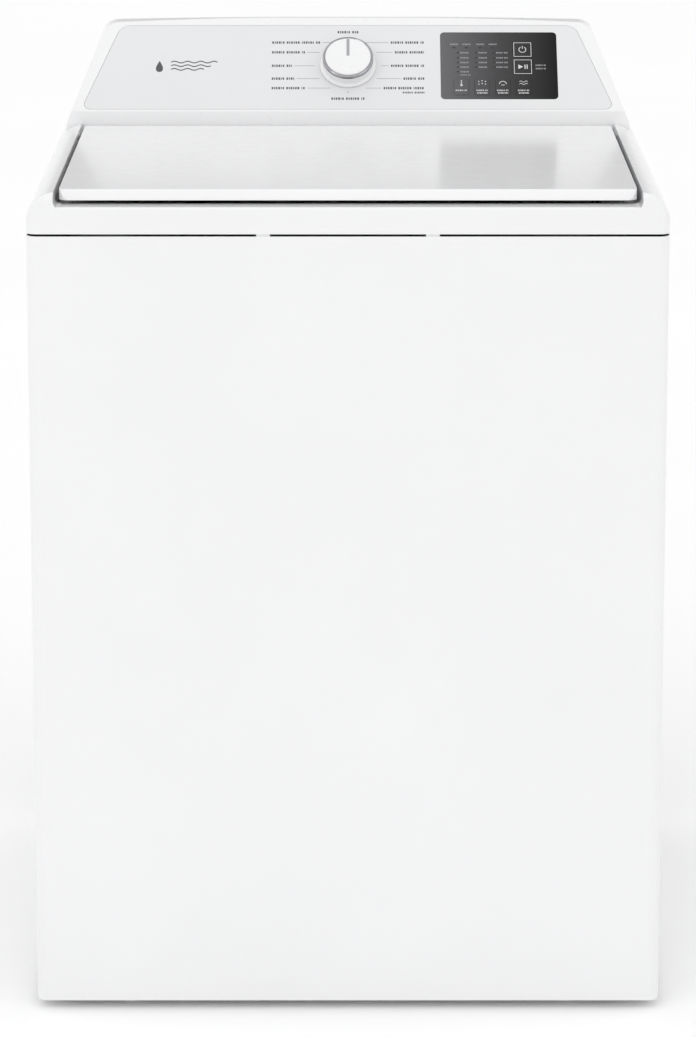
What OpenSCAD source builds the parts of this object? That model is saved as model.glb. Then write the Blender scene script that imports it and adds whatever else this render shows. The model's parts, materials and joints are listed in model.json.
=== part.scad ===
// Top load washing machine: a sheet steel cabinet, a hinged lid, a sloping control console,
// and a hanging wash unit with a perforated basket, an agitator and a belt drive.
// The origin is on the floor under the middle of the machine. The front faces -Y and the top +Z.

/* [Cabinet] */
// Width of the cabinet
body_w = 699; // [600:1:800]
// Depth of the cabinet from its front to its rear flanges
body_d = 664; // [640:1:740]
// Height of the cabinet's top edge above the floor
body_h = 883; // [860:1:1000]
// Gap between the floor and the cabinet's bottom edge
floor_gap = 10; // [8:1:20]
// How far the hose connections stand out behind the cabinet
rear_room = 22; // [20:1:40]
// Thickness of the cabinet's sheet
sheet_t = 1.2; // [0.8:0.1:2]
// Radius of the cabinet's upright corners
corner_r = 12; // [8:1:20]
// Width of the flanges turned in at the rear
flange_w = 40; // [30:1:60]
// Height of the base frame's channel
base_h = 42; // [30:1:60]
// Thickness of the base frame's steel
base_t = 2; // [1.5:0.1:3]

/* [Feet] */
// Radius of a levelling foot's pad
foot_r = 22; // [16:0.5:26]
// Thickness of a foot's pad
foot_pad_h = 7; // [5:0.5:9]
// Radius of a foot's threaded stem
foot_stem_r = 5; // [4:0.5:7]
// Distance from the centre line to each foot
foot_x = 245; // [200:1:280]
// Distance from the cabinet's front or rear to the nearest feet
foot_inset = 45; // [40:1:80]

/* [Top panel] */
// Gap of the dark seam between cabinet and top panel
seam_gap = 2.5; // [1:0.5:5]
// Height of the top panel from the seam to the top of its arms
top_h = 45.5; // [40:0.5:70]
// How far the front rim lies below the top of the arms
rim_drop = 16; // [10:1:24]
// Wall of the top panel
top_t = 2.5; // [1.5:0.1:4]
// Radius of the arms' outer shoulders
shoulder_r = 33; // [20:1:36]
// Radius of the roll along the front edges
front_roll_r = 8; // [4:1:12]
// Depth of the lid recess below the top of the arms
recess_depth = 31; // [28:1:36]
// Width of the wash opening
opening_w = 464; // [400:1:480]
// Depth of the wash opening from front to rear
opening_d = 382; // [300:1:400]
// Corner radius of the wash opening
opening_r = 150; // [60:1:180]

/* [Lid] */
// Width of the lid
lid_w = 629; // [560:1:640]
// Height of the lid's front lip
lid_lip_h = 11.4; // [9:0.2:14]
// Wall of the lid's outer skin
lid_t = 1.2; // [1:0.1:3]
// Gap between the lid's sides and the recess
lid_gap = 5; // [2:0.5:6]
// Radius of the rolled rear edge, which turns about the hinge line
lid_roll_r = 12; // [12:0.5:14]
// Radius of a hinge pin
hinge_pin_r = 4; // [3:0.5:6]
// Radius of the lid's front corners
lid_corner_r = 11; // [8:1:20]

/* [Console] */
// Height of the console's crown above the top panel's arms
console_h = 116; // [116:1:150]
// Half of the width at the console's base
console_half_w = 338; // [320:1:342]
// How much each side leans in per unit of height
console_lean = 0.4; // [0.2:0.05:0.5]
// Depth of the console
console_d = 188; // [180:1:200]
// Tilt of the control face
face_tilt = 45; // [42:1:48]
// Wall of the console housing
console_t = 2.5; // [2:0.1:4]
// Thickness of the fascia
fascia_t = 2; // [1:0.1:3]
// Length of the fascia up the slope
fascia_l = 127; // [122:1:132]
// Width of the display window
window_w = 141; // [138:1:160]
// Length of the display window up the slope
window_l = 101; // [99:1:106]

/* [Knob] */
// Radius of the knob's skirt
knob_skirt_r = 33.5; // [28:0.5:38]
// Radius of the knob's grip
knob_r = 30.8; // [24:0.2:33]
// How far the knob stands out of the fascia
knob_h = 19; // [14:0.5:26]
// Radius of the selector's shaft
shaft_r = 3; // [2:0.5:4]

/* [Keys] */
// Side of the two square keys
key_w = 23.5; // [18:0.5:24]
// Width of each option key
option_w = 18; // [14:0.5:20]
// Travel of a key
key_travel = 1; // [0.5:0.1:1.5]
// Gap round a key in the window
key_gap = 0.3; // [0.2:0.1:0.6]

/* [Tub] */
// Outer radius of the tub
tub_r = 291.5; // [260:0.5:296]
// Wall of the tub
tub_t = 3; // [2:0.5:5]
// Height of the tub's floor above the floor
tub_z = 270; // [262:1:290]
// Height of the tub
tub_h = 565; // [480:1:575]
// Outer radius of the basket
basket_r = 266; // [240:0.5:272]
// Wall of the basket
basket_t = 1.2; // [0.8:0.1:2]
// Gap below the basket in the tub
basket_lift = 30; // [26:1:40]
// Height of the basket's wall
basket_h = 500; // [420:1:510]
// Radius of a hole in the basket
basket_hole_r = 3; // [2:0.5:5]
// Rows of holes in the basket
hole_rows = 9; // [4:1:12]
// Holes in each row
hole_columns = 16; // [8:1:24]
// Height of the balance ring
balance_h = 28; // [20:1:30]

/* [Agitator] */
// Radius of the agitator's skirt
agitator_r = 112; // [90:1:150]
// Radius of the agitator's post
post_r = 42; // [34:1:60]
// Height of the agitator's lower part
agitator_base_h = 165; // [120:1:200]
// Height of the auger above it
auger_h = 215; // [150:1:240]
// Number of vanes on the agitator's base
vane_count = 4; // [3:1:6]

/* [Drive] */
// Radius of the agitator's drive shaft
drive_shaft_r = 12; // [9:0.5:14]
// Outer radius of the basket's spin tube
spin_tube_r = 17; // [16:0.5:22]
// Radius of the input shaft below the gearcase
input_shaft_r = 9; // [7:0.5:11]
// Radius of the large pulley
pulley_r = 90; // [70:1:100]
// Radius of the motor's pulley
motor_pulley_r = 22.5; // [18:0.5:30]
// Distance between the two pulleys' centres
belt_centres = 150; // [145:1:165]
// Radius of the motor's casing
motor_r = 62; // [50:1:65]

/* [Suspension] */
// Distance from the cabinet's side to a rod
rod_side = 85; // [70:1:90]
// Distance from the cabinet's front or rear to a rod
rod_front = 82; // [70:1:90]
// Radius of a rod
rod_r = 5; // [4:0.5:6]
// Turns of a spring
spring_turns = 7; // [5:1:9]

/* [Fits] */
// Radial clearance of a shaft in its bearing
run_gap = 0.05; // [0.02:0.01:0.1]
// Gap between parts that are set into each other
fit_gap = 0.4; // [0.2:0.1:1]
// Radius of the hose thread on an inlet
inlet_r = 13.3; // [12:0.1:14]
// Radius of the drain connection
drain_r = 13; // [11:0.5:16]

/* [Hidden] */
$fn = 64;
hull_fn = 32;
cut = 1;

// Main planes
front_y = -(body_d + rear_room) / 2;
rear_y = front_y + body_d;
back_y = rear_y + rear_room;
mid_y = (front_y + rear_y) / 2;
half_w = body_w / 2;
panel_y = rear_y + sheet_t;

// Top panel and lid recess
top_z0 = body_h + seam_gap;
top_z1 = top_z0 + top_h;
rim_z = top_z1 - rim_drop;
recess_z = top_z1 - recess_depth;
recess_half_w = lid_w / 2 + lid_gap;
rim_w = 27;
rim_roll_r = 2.6;
rim_corner_r = 9;
notch_h = 3 * rim_drop;
recess_y0 = front_y + rim_w;
recess_r = 14;
console_y = front_y + 493;
opening_y = mid_y - 68;
skirt_h = 14;

// Lid and its hinge
lid_y0 = front_y + 19;
lid_z0 = top_z1 - lid_lip_h;
lid_lean = 6;
hinge_y = console_y - lid_roll_r - 5;
hinge_z = top_z1 - lid_roll_r;
liner_t = 2.5;
pin_len = 12;
bushing_r = 6.5;
bumper_r = 9;
bumper_inset = 13;
roll_gap = 3;
strike_x = 275;
strike_y = front_y + 128;
strike_w = 14;
strike_t = 3;
strike_l = 38;
bolt_w = 6;
bolt_z = lid_z0 - strike_l + 9;
bolt_l = 22;
bolt_room = 35;
strike_slot = [strike_t + 8, strike_w + 18];
lock_size = [58, 46, 26];

// Dispenser
dispenser_x = -262;
dispenser_y = front_y + 75;
dispenser_r = 34;
dispenser_h = 27;
spout_turn = 45;

// Console
seat_z = top_z1 - 26;
console_z0 = seat_z + 0.5;
console_z1 = top_z1 + console_h;
console_back_y = console_y + console_d;
crown = 6;
crown_half_w = 295;
crown_r = (crown_half_w * crown_half_w + crown * crown) / (2 * crown);
console_top_corner_r = 24;
face_y = console_y + 2;
face_z = top_z1 + 16;
face_lip_r = 3;
face_top_r = 12;
face_l = 136;
rear_top_r = 16;
rear_top_z = console_z1 - 18;
console_screw_x = 250;
console_screw_z = console_z0 + 12;
back_plate_t = 2;
vent_x = 160;
vent_z = console_z0 + 60;
vent_pitch = 9;
face_depth = fascia_t + console_t;
fascia_s = 1.5;
fascia_half_w = 317;
knob_s = 67;
ring_w = 3.2;
pointer_w = 3.4;
pointer_l = 25;
pointer_depth = 0.8;
encoder_shaft_l = 10;
window_x = 182.5;
window_s = 67.2;
window_t = 2;
window_r = 5;
key_x = 211.5;
power_s = 91.2;
start_s = 65.2;
option_s = 35;
option_l = 24;
option_x = 136.8;
option_pitch = 25;
key_rim = 1.2;
key_depth = 1.5;
key_corner_r = 2.2;
board_drop = 12;
board_t = 1.6;
encoder_w = 22;
encoder_h = 10;
bushing_out_r = 5;
key_proud = 0.3;

// Wash unit
tub_z1 = tub_z + tub_h;
cover_t = 3.5;
cover_in_r = 250;
basket_z = tub_z + basket_lift;
basket_z1 = basket_z + basket_h;
balance_in_r = basket_r - 23;
hub_r = 60;
hub_h = 14;
agitator_z = basket_z + hub_h + 4;
auger_z = agitator_z + agitator_base_h + 1;
unit_x = belt_centres;
gearcase_r = 74;
gearcase_z0 = tub_z - 74;
drive_shaft_z = gearcase_z0 + 30;
pulley_z = gearcase_z0 - 46;
pulley_h = 16;
bearing_r = 31;
drain_x = -150;
drain_y = mid_y + 70;
riser_y = rear_y - 31;
drain_port_z = 790;
riser_z0 = 250;
pump_z0 = tub_z - 110;
volute_r = 38;
volute_h = 44;
volute_z = tub_z - 62;
pump_out_z = volute_z + volute_h / 2;
ear_z = tub_z + 40;
ear_h = 12;
rod_z0 = tub_z - 50;
rod_top_z = body_h - 30;
cup_r = 20;
spring_r = 15;
wire_r = 2;
inlet_x = 160;
inlet_pitch = 48;
inlet_z = 840;
fill_hose_r = 9;
fill_z = 873;
valve_top_z = 853;
gland_x = -40;
gland_z = 842;
cord_bore_r = 4.5;
collar_w = 3;
collar_l = 3;
switch_x = 60;
switch_y = rear_y - 21;
tube_r = 3;
screw_head_r = 4.5;
screw_head_h = 2.2;
screw_r = 2;
screw_l = 9;
panel_screw_rows = [60, 250, 440, 630, 820];

// A rectangle with round corners
module round_rect(w, d, r) {
    square([w - 2 * r, d], center = true);
    square([w, d - 2 * r], center = true);
    for (x = [-1, 1], y = [-1, 1])
        translate([x * (w / 2 - r), y * (d / 2 - r)]) circle(r);
}

// A block with round upright corners, standing on z
module round_block(w, d, h, r) {
    linear_extrude(h) round_rect(w, d, r);
}

// A ring about the Z axis
module ring(r_out, r_in, h) {
    difference() {
        cylinder(r = r_out, h = h);
        translate([0, 0, -cut]) cylinder(r = r_in, h = h + 2 * cut);
    }
}

// Places children on the control face: x across, y up the slope, z out of the face
module on_face(x = 0, s = 0) {
    translate([0, face_y, face_z]) rotate([face_tilt, 0, 0]) translate([x, s, 0]) children();
}

// Turns a flat outline drawn in x and z into a slab along y
module slab_y(y0, y1) {
    translate([0, y1, 0]) rotate([90, 0, 0]) linear_extrude(y1 - y0) children();
}

// Turns a flat outline drawn in y and z into a slab across x, centred
module slab_x(w) {
    translate([-w / 2, 0, 0]) rotate([90, 0, 90]) linear_extrude(w) children();
}

// A cylinder that runs along +Y from the given point
module rod_y(x, y, z, r, l) {
    translate([x, y, z]) rotate([-90, 0, 0]) cylinder(r = r, h = l);
}

// A quarter elbow about the origin: from the +X direction at z = 0 into +Z
module elbow(r, bend_r) {
    rotate([90, 0, 0]) rotate_extrude(angle = 90) translate([bend_r, 0]) circle(r);
}

module at_rods() {
    for (x = [-1, 1], y = [front_y + rod_front, rear_y - rod_front])
        translate([x * (half_w - rod_side), y, 0]) children();
}

module at_feet() {
    for (x = [-1, 1], y = [front_y + foot_inset, rear_y - foot_inset])
        translate([x * foot_x, y, 0]) children();
}

module at_panel_screws(y) {
    for (x = [-1, 1], z = panel_screw_rows)
        translate([x * (half_w - flange_w / 2), y, z]) rotate([-90, 0, 0]) children();
}

// ---- Cabinet ----

module cabinet_shell() {
    color("white") difference() {
        translate([0, mid_y, floor_gap]) round_block(body_w, body_d, body_h - floor_gap, corner_r);
        translate([0, mid_y, floor_gap + sheet_t])
            round_block(body_w - 2 * sheet_t, body_d - 2 * sheet_t, body_h, corner_r - sheet_t);
        translate([0, mid_y, -cut])
            round_block(body_w - 2 * flange_w, body_d - 2 * flange_w, body_h, corner_r);
        translate([0, rear_y, floor_gap + body_h / 2])
            cube([body_w - 2 * flange_w, 4 * sheet_t, body_h + 2 * cut], center = true);
        at_panel_screws(rear_y - 2 * sheet_t) cylinder(r = screw_r + fit_gap, h = 3 * sheet_t);
        at_feet() cylinder(r = foot_stem_r + fit_gap, h = floor_gap + 2 * sheet_t);
    }
}

module rear_panel() {
    panel_w = body_w - flange_w;
    panel_z0 = floor_gap + 20;
    rib_h = body_h - 420;
    color("gainsboro") difference() {
        union() {
            translate([-panel_w / 2, rear_y, panel_z0]) cube([panel_w, sheet_t, body_h - panel_z0]);
            for (x = [-2 : 2]) slab_y(panel_y - sheet_t / 2, panel_y + 3)
                translate([x * 110, panel_z0 + rib_h / 2 + 60]) round_rect(26, rib_h, 10);
        }
        at_panel_screws(rear_y - cut) cylinder(r = screw_r + fit_gap, h = 3 * sheet_t);
        for (x = [-1, 1])
            rod_y(inlet_x + x * inlet_pitch / 2, rear_y - cut, inlet_z, inlet_r + collar_w + fit_gap, 8);
        rod_y(drain_x, rear_y - cut, drain_port_z, drain_r + collar_w + fit_gap, 8);
        rod_y(gland_x, rear_y - cut, gland_z, cord_bore_r + 4 + fit_gap, 8);
    }
}

module rear_panel_screws() {
    color("silver") at_panel_screws(panel_y) {
        cylinder(r = screw_head_r, h = screw_head_h);
        translate([0, 0, -screw_l]) cylinder(r = screw_r, h = screw_l + cut);
    }
}

module base_frame() {
    w = body_w - 2 * sheet_t - 2 * fit_gap;
    d = body_d - 2 * sheet_t - 2 * fit_gap;
    ledge = 60;
    color("dimgray") translate([0, mid_y, floor_gap + sheet_t]) difference() {
        round_block(w, d, base_h, corner_r - sheet_t);
        translate([0, 0, base_t]) round_block(w - 2 * base_t, d - 2 * base_t, base_h, corner_r - 2 * sheet_t);
        translate([0, 0, -cut]) round_block(w - 2 * ledge, d - 2 * ledge, base_h, corner_r);
        translate([0, -mid_y, -cut]) at_feet() cylinder(r = foot_stem_r + fit_gap, h = 2 * base_t + 2 * cut);
        translate([0, -mid_y, -floor_gap - sheet_t])
            at_panel_screws(rear_y - screw_l - 2 * sheet_t)
                cylinder(r = screw_r + fit_gap, h = screw_l + cut);
    }
}

module levelling_feet() {
    color("black") at_feet() {
        rotate_extrude()
            polygon([[0, 0], [foot_r, 0], [foot_r, 3], [foot_r - 5, foot_pad_h], [0, foot_pad_h]]);
        cylinder(r = foot_stem_r, h = base_h);
    }
}

module foot_lock_nuts() {
    nut_z = floor_gap + sheet_t + base_t;
    color("silver") at_feet() translate([0, 0, nut_z]) difference() {
        cylinder(r = 2 * foot_stem_r, h = foot_stem_r, $fn = 6);
        translate([0, 0, -cut]) cylinder(r = foot_stem_r, h = foot_stem_r + 2 * cut);
    }
}

// The tub hangs from these plates across the cabinet's upper corners
module corner_brackets() {
    plate_t = 3;
    color("silver") for (x = [-1, 1], y = [-1, 1]) {
        rod_x = half_w - rod_side;
        rod_dy = body_d / 2 - rod_front;
        wall_x = half_w - sheet_t - fit_gap;
        wall_y = body_d / 2 - sheet_t - fit_gap;
        translate([0, mid_y, rod_top_z - plate_t]) mirror([x < 0 ? 1 : 0, 0, 0]) mirror([0, y < 0 ? 1 : 0, 0])
            difference() {
                linear_extrude(plate_t) hull() {
                    translate([rod_x, rod_dy]) circle(22, $fn = hull_fn);
                    translate([wall_x - 8, rod_dy - 40]) square([8, 60]);
                    translate([rod_x - 40, wall_y - 8]) square([60, 8]);
                    translate([wall_x - 14, wall_y - 14]) circle(8, $fn = hull_fn);
                }
                translate([rod_x, rod_dy, -cut]) cylinder(r = rod_r + fit_gap, h = plate_t + 2 * cut);
            }
    }
}

module suspension_rods() {
    color("silver") at_rods() {
        translate([0, 0, rod_z0]) cylinder(r = rod_r, h = rod_top_z - rod_z0 + 2);
        translate([0, 0, rod_top_z]) cylinder(r1 = rod_r + 5, r2 = rod_r + 3, h = 10);
        translate([0, 0, rod_z0]) cylinder(r = spring_r + wire_r, h = 4);
    }
}

// Points of one ring of the spring's wire, a turned at angle t
function spring_ring(t, r, z) = [for (k = [0 : 5]) [
    (r + wire_r * cos(60 * k)) * cos(t),
    (r + wire_r * cos(60 * k)) * sin(t),
    z + wire_r * sin(60 * k)]];

module coil_spring(r, h, turns) {
    steps = 14;
    rings = turns * steps;
    points = [for (i = [0 : rings], p = spring_ring(i * 360 / steps, r, h * i / rings)) p];
    sides = [for (i = [0 : rings - 1], k = [0 : 5])
        let (n = (k + 1) % 6) [i * 6 + k, (i + 1) * 6 + k, (i + 1) * 6 + n, i * 6 + n]];
    first = [for (k = [0 : 5]) k];
    last = [for (k = [5 : -1 : 0]) rings * 6 + k];
    polyhedron(points, concat(sides, [first, last]), convexity = 10);
}

module suspension_springs() {
    foot_z = rod_z0 + 4;
    color("dimgray") at_rods() translate([0, 0, foot_z + wire_r + fit_gap])
        coil_spring(spring_r, ear_z - 6 - foot_z - 2 * wire_r - 2 * fit_gap, spring_turns);
}

// ---- Top panel ----

// Outline of the top panel seen from the front, t inside its skin
module top_front_outline(t) {
    z0 = t > 0 ? top_z0 - cut : top_z0;
    translate([-half_w + t, z0]) square([body_w - 2 * t, top_z1 - shoulder_r - z0]);
    translate([-half_w + shoulder_r, z0]) square([body_w - 2 * shoulder_r, top_z1 - t - z0]);
    for (x = [-1, 1])
        translate([x * (half_w - shoulder_r), top_z1 - shoulder_r]) circle(shoulder_r - t);
}

// Outline seen from the side
module top_side_outline(t) {
    r = front_roll_r;
    z0 = t > 0 ? top_z0 - cut : top_z0;
    translate([front_y + t, z0]) square([body_d - 2 * t, top_z1 - r - z0]);
    translate([front_y + r, z0]) square([body_d - r - t, top_z1 - t - z0]);
    translate([front_y + r, top_z1 - r]) circle(r - t);
}

// Space in front of the lid, above the lowered rim
module rim_notch(t) {
    r = rim_roll_r;
    d = rim_w + recess_r + t + cut;
    intersection() {
        slab_x(2 * recess_half_w + 2 * t) {
            translate([front_y - cut, rim_z - t]) square([d, rim_drop + t + cut]);
            difference() {
                translate([front_y - cut, rim_z - r]) square([r + cut, r]);
                translate([front_y + r, rim_z - r]) circle(r - t);
            }
        }
        slab_y(front_y - 2 * cut, front_y + d + cut) translate([0, rim_z - r + notch_h / 2])
            round_rect(2 * recess_half_w + 2 * t, notch_h, rim_corner_r + t);
    }
}

module top_form(t) {
    difference() {
        intersection() {
            slab_y(front_y, rear_y) top_front_outline(t);
            slab_x(body_w) top_side_outline(t);
            translate([0, mid_y, top_z0 - 2 * cut])
                round_block(body_w - 2 * t, body_d - 2 * t, top_h + 4 * cut, corner_r - t);
        }
        rim_notch(t);
    }
}

// The recess that the lid lies in, and the seat for the console behind it
module recess_space(t) {
    d = console_y - recess_y0 + 20;
    translate([0, recess_y0 + d / 2, recess_z - t])
        round_block(2 * recess_half_w + 2 * t, d + 2 * t, recess_depth + t + cut, recess_r + t);
    translate([-console_half_w - fit_gap - t, console_y - fit_gap - t, seat_z - t])
        cube([2 * (console_half_w + fit_gap + t), console_d + 60, top_z1 - seat_z + t + cut]);
}

module opening_outline(t) {
    round_rect(opening_w + 2 * t, opening_d + 2 * t, opening_r + t);
}

module top_panel() {
    color("white") difference() {
        union() {
            difference() {
                top_form(0);
                top_form(top_t);
            }
            intersection() {
                top_form(0);
                recess_space(top_t);
            }
            translate([0, opening_y, recess_z - skirt_h]) linear_extrude(skirt_h) opening_outline(top_t);
        }
        recess_space(0);
        translate([0, opening_y, recess_z - skirt_h - cut])
            linear_extrude(skirt_h + 2 * cut) opening_outline(0);
        translate([dispenser_x, dispenser_y, recess_z - 2 * top_t])
            cylinder(r = dispenser_r + fit_gap, h = 3 * top_t);
        translate([strike_x, strike_y, recess_z - top_t])
            cube([strike_slot[0], strike_slot[1], 3 * top_t], center = true);
        for (x = [-1, 1]) translate([x * recess_half_w, hinge_y, hinge_z]) rotate([0, 90, 0])
            cylinder(r = bushing_r, h = 4 * top_t, center = true);
        translate([switch_x, switch_y, seat_z - 2 * top_t]) cylinder(r = tube_r + 2, h = 3 * top_t);
    }
}

// Two spring clips hold the top panel and bridge the seam at the front
module top_panel_clips() {
    clip_x = 92;
    clip_w = 15;
    color("whitesmoke") for (x = [-1, 1])
        translate([x * clip_x - clip_w / 2, front_y + sheet_t, body_h])
            cube([clip_w, 14, seam_gap]);
}

module lid_bumpers() {
    color("lightgray") for (x = [-1, 1], y = [recess_y0 + bumper_inset, hinge_y - 4 * lid_roll_r])
        translate([x * (recess_half_w - bumper_inset), y, recess_z])
            cylinder(r1 = bumper_r, r2 = bumper_r - 3, h = lid_z0 - recess_z - fit_gap);
}

module hinge_bushings() {
    color("lightgray") for (x = [-1, 1]) translate([x * (recess_half_w - 1), hinge_y, hinge_z])
        rotate([0, x * 90, 0]) difference() {
            union() {
                cylinder(r = bushing_r, h = pin_len - 4);
                translate([0, 0, 1 + top_t]) cylinder(r = bushing_r + 1.5, h = 3);
            }
            translate([0, 0, -cut]) cylinder(r = hinge_pin_r + run_gap, h = pin_len);
        }
}

module bleach_dispenser() {
    wall = 2;
    spout_l = 50;
    spout_r = 5;
    color("gainsboro") translate([dispenser_x, dispenser_y, recess_z]) difference() {
        union() {
            cylinder(r = dispenser_r + 6, h = wall);
            translate([0, 0, -dispenser_h]) cylinder(r = dispenser_r, h = dispenser_h + wall);
            translate([0, 0, -dispenser_h + spout_r + 1]) rotate([0, 90, spout_turn])
                cylinder(r = spout_r, h = dispenser_r + spout_l);
        }
        translate([0, 0, -dispenser_h + wall]) cylinder(r = dispenser_r - wall, h = dispenser_h + wall + cut);
        translate([0, 0, -dispenser_h + spout_r + 1]) rotate([0, 90, spout_turn])
            cylinder(r = spout_r - wall, h = dispenser_r + spout_l + cut);
    }
}

// Where the lid lock's housing ends below the recess
function lock_z1() = recess_z - top_t;

module lid_lock_housing() {
    slot = [strike_slot[0], strike_slot[1], lock_size[2] + 2 * cut];
    color("dimgray") difference() {
        translate([strike_x - 14, strike_y - lock_size[1] / 2, lock_z1() - lock_size[2]]) cube(lock_size);
        translate([strike_x, strike_y, lock_z1() - lock_size[2] / 2 + 3]) cube(slot, center = true);
        translate([strike_x, strike_y - bolt_w / 2 - fit_gap, bolt_z - bolt_w / 2 - fit_gap])
            cube([bolt_room, bolt_w + 2 * fit_gap, bolt_w + 2 * fit_gap]);
    }
}

module lid_lock_bolt() {
    color("silver") translate([strike_x + strike_t / 2 + 1.5, strike_y - bolt_w / 2, bolt_z - bolt_w / 2])
        cube([bolt_l, bolt_w, bolt_w]);
}

// ---- Lid ----

// Points of an arc in y and z about the hinge line
function hinge_arc(r, a0, a1, n) = [for (i = [0 : n])
    let (a = a0 + (a1 - a0) * i / n) [hinge_y + r * cos(a), hinge_z + r * sin(a)]];

// Section of the lid's outer skin, from its front lip to the roll round the hinge line
module lid_section() {
    polygon(concat(
        [[lid_y0, lid_z0], [lid_y0 + lid_lean, top_z1]],
        hinge_arc(lid_roll_r, 90, -180, 36),
        [[hinge_y - lid_roll_r, lid_z0]]));
}

// Section of the hollow under the skin, which stops short of the roll's lower half
module lid_hollow_section() {
    t = lid_t;
    polygon(concat(
        [[lid_y0 + t, lid_z0 - cut], [lid_y0 + lid_lean + t, top_z1 - t]],
        hinge_arc(lid_roll_r - t, 90, 0, 12),
        [[hinge_y - lid_roll_r, hinge_z], [hinge_y - lid_roll_r, lid_z0 - cut]]));
}

// Plan of the lid, with its two front corners round
module lid_plan(t) {
    w = lid_w - 2 * t;
    d = hinge_y + lid_roll_r - lid_y0;
    translate([-w / 2, lid_y0 + t + lid_corner_r]) square([w, d]);
    translate([-w / 2 + lid_corner_r, lid_y0 + t]) square([w - 2 * lid_corner_r, d]);
    for (x = [-1, 1]) translate([x * (w / 2 - lid_corner_r), lid_y0 + t + lid_corner_r]) circle(lid_corner_r);
}

// Trims a slab across x to the lid's plan, t inside its skin
module lid_form(t) {
    intersection() {
        slab_x(lid_w - 2 * t) children();
        translate([0, 0, hinge_z - 3 * lid_roll_r]) linear_extrude(6 * lid_roll_r) lid_plan(t);
    }
}

module lid_outer() {
    color("white") difference() {
        lid_form(0) lid_section();
        lid_form(lid_t) lid_hollow_section();
        for (x = [-1, 1]) translate([x * lid_w / 2, hinge_y, hinge_z]) rotate([0, 90, 0])
            cylinder(r = hinge_pin_r, h = 3 * pin_len, center = true);
    }
}

module lid_liner() {
    lean_per_height = lid_lean / (lid_lip_h - lid_t + cut);
    inset = lid_t + lean_per_height * (liner_t + cut) + fit_gap;
    liner_d = hinge_y - lid_roll_r - lid_y0 - inset - roll_gap;
    color("whitesmoke") difference() {
        intersection() {
            translate([-half_w, lid_y0 + inset, lid_z0]) cube([body_w, liner_d, liner_t]);
            translate([0, 0, lid_z0 - cut]) linear_extrude(2 * lid_roll_r) lid_plan(inset);
        }
        translate([strike_x, strike_y, lid_z0]) cube([strike_t, strike_w, 4 * liner_t], center = true);
    }
}

module lid_hinge_pins() {
    color("silver") for (x = [-1, 1]) translate([x * (lid_w / 2 + lid_gap + 8), hinge_y, hinge_z])
        rotate([0, -x * 90, 0]) cylinder(r = hinge_pin_r, h = lid_gap + 8 + pin_len);
}

module lid_strike() {
    window = 9;
    color("silver") difference() {
        translate([strike_x - strike_t / 2, strike_y - strike_w / 2, lid_z0 - strike_l])
            cube([strike_t, strike_w, strike_l + 8]);
        translate([strike_x, strike_y, bolt_z]) cube([2 * strike_t, window, window], center = true);
    }
}

// ---- Console ----

// How far the crowned top line has dropped at x from the middle
function crown_drop(x) = crown_r - sqrt(crown_r * crown_r - x * x);

// Outline of the console seen from the front, t inside its skin
module console_front_outline(t) {
    w = console_half_w - t;
    z0 = console_z0 - (t > 0 ? cut : 0);
    lean_reach = console_top_corner_r * sqrt(1 + console_lean * console_lean);
    corner_x = console_half_w - console_lean * (console_h - crown - console_top_corner_r) - lean_reach;
    corner_z = console_z1 - crown_drop(corner_x) - console_top_corner_r;
    hull() {
        translate([-w, z0]) square([2 * w, top_z1 - z0]);
        for (x = [-1, 1]) translate([x * corner_x, corner_z]) circle(console_top_corner_r - t, $fn = hull_fn);
        polygon([for (i = [-12 : 12]) let (x = i * corner_x / 12) [x, console_z1 - t - crown_drop(x)]]);
    }
}

// Outline of the console seen from the side
module console_side_outline(t) {
    n = [-sin(face_tilt), cos(face_tilt)];
    u = [cos(face_tilt), sin(face_tilt)];
    z0 = console_z0 - (t > 0 ? cut : 0);
    rear = t > 0 ? cut : 0;
    hull() {
        translate([console_y + t, z0]) square([console_d - t + rear, top_z1 - z0]);
        translate([face_y, face_z] - face_lip_r * n) circle(max(face_lip_r - t, 0.5), $fn = hull_fn);
        translate([face_y, face_z] + face_l * u - face_top_r * n) circle(face_top_r - t, $fn = hull_fn);
        translate([console_back_y - rear_top_r, rear_top_z - rear_top_r])
            circle(rear_top_r - t, $fn = hull_fn);
        if (t > 0) translate([console_back_y, z0]) square([rear, rear_top_z - rear_top_r - z0]);
    }
}

module console_form(t) {
    intersection() {
        slab_y(console_y - cut, console_back_y + (t > 0 ? cut : 0)) console_front_outline(t);
        slab_x(body_w) console_side_outline(t);
    }
}

module fascia_outline(t) {
    top_half_w = fascia_half_w - console_lean * fascia_l * sin(face_tilt);
    hull() for (x = [-1, 1]) {
        translate([x * (fascia_half_w - 8), fascia_s + 8]) circle(8 + t, $fn = hull_fn);
        translate([x * (top_half_w - 18), fascia_s + fascia_l - 18]) circle(18 + t, $fn = hull_fn);
    }
}

module console_body() {
    color("white") difference() {
        console_form(0);
        difference() {
            console_form(console_t);
            on_face(0, 0) translate([-half_w, -60, -face_depth]) cube([body_w, 2 * face_l, 60]);
        }
        on_face() translate([0, 0, -fascia_t]) linear_extrude(20) fascia_outline(fit_gap / 2);
        on_face(0, knob_s) translate([0, 0, -20]) cylinder(r = bushing_out_r + fit_gap, h = 30);
        on_face(window_x, window_s) translate([0, 0, -20])
            round_block(window_w - 4, window_l - 4, 30, window_r);
        for (x = [-1, 1]) translate([x * console_screw_x, console_back_y - 8, console_screw_z])
            rotate([-90, 0, 0]) cylinder(r = screw_r, h = 20);
    }
}

module back_plate_outline() {
    hull() {
        translate([-console_half_w, console_z0]) square([2 * console_half_w, 20]);
        for (x = [-1, 1]) translate([x * (console_half_w - 58), rear_top_z - 22]) circle(14, $fn = hull_fn);
    }
}

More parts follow.
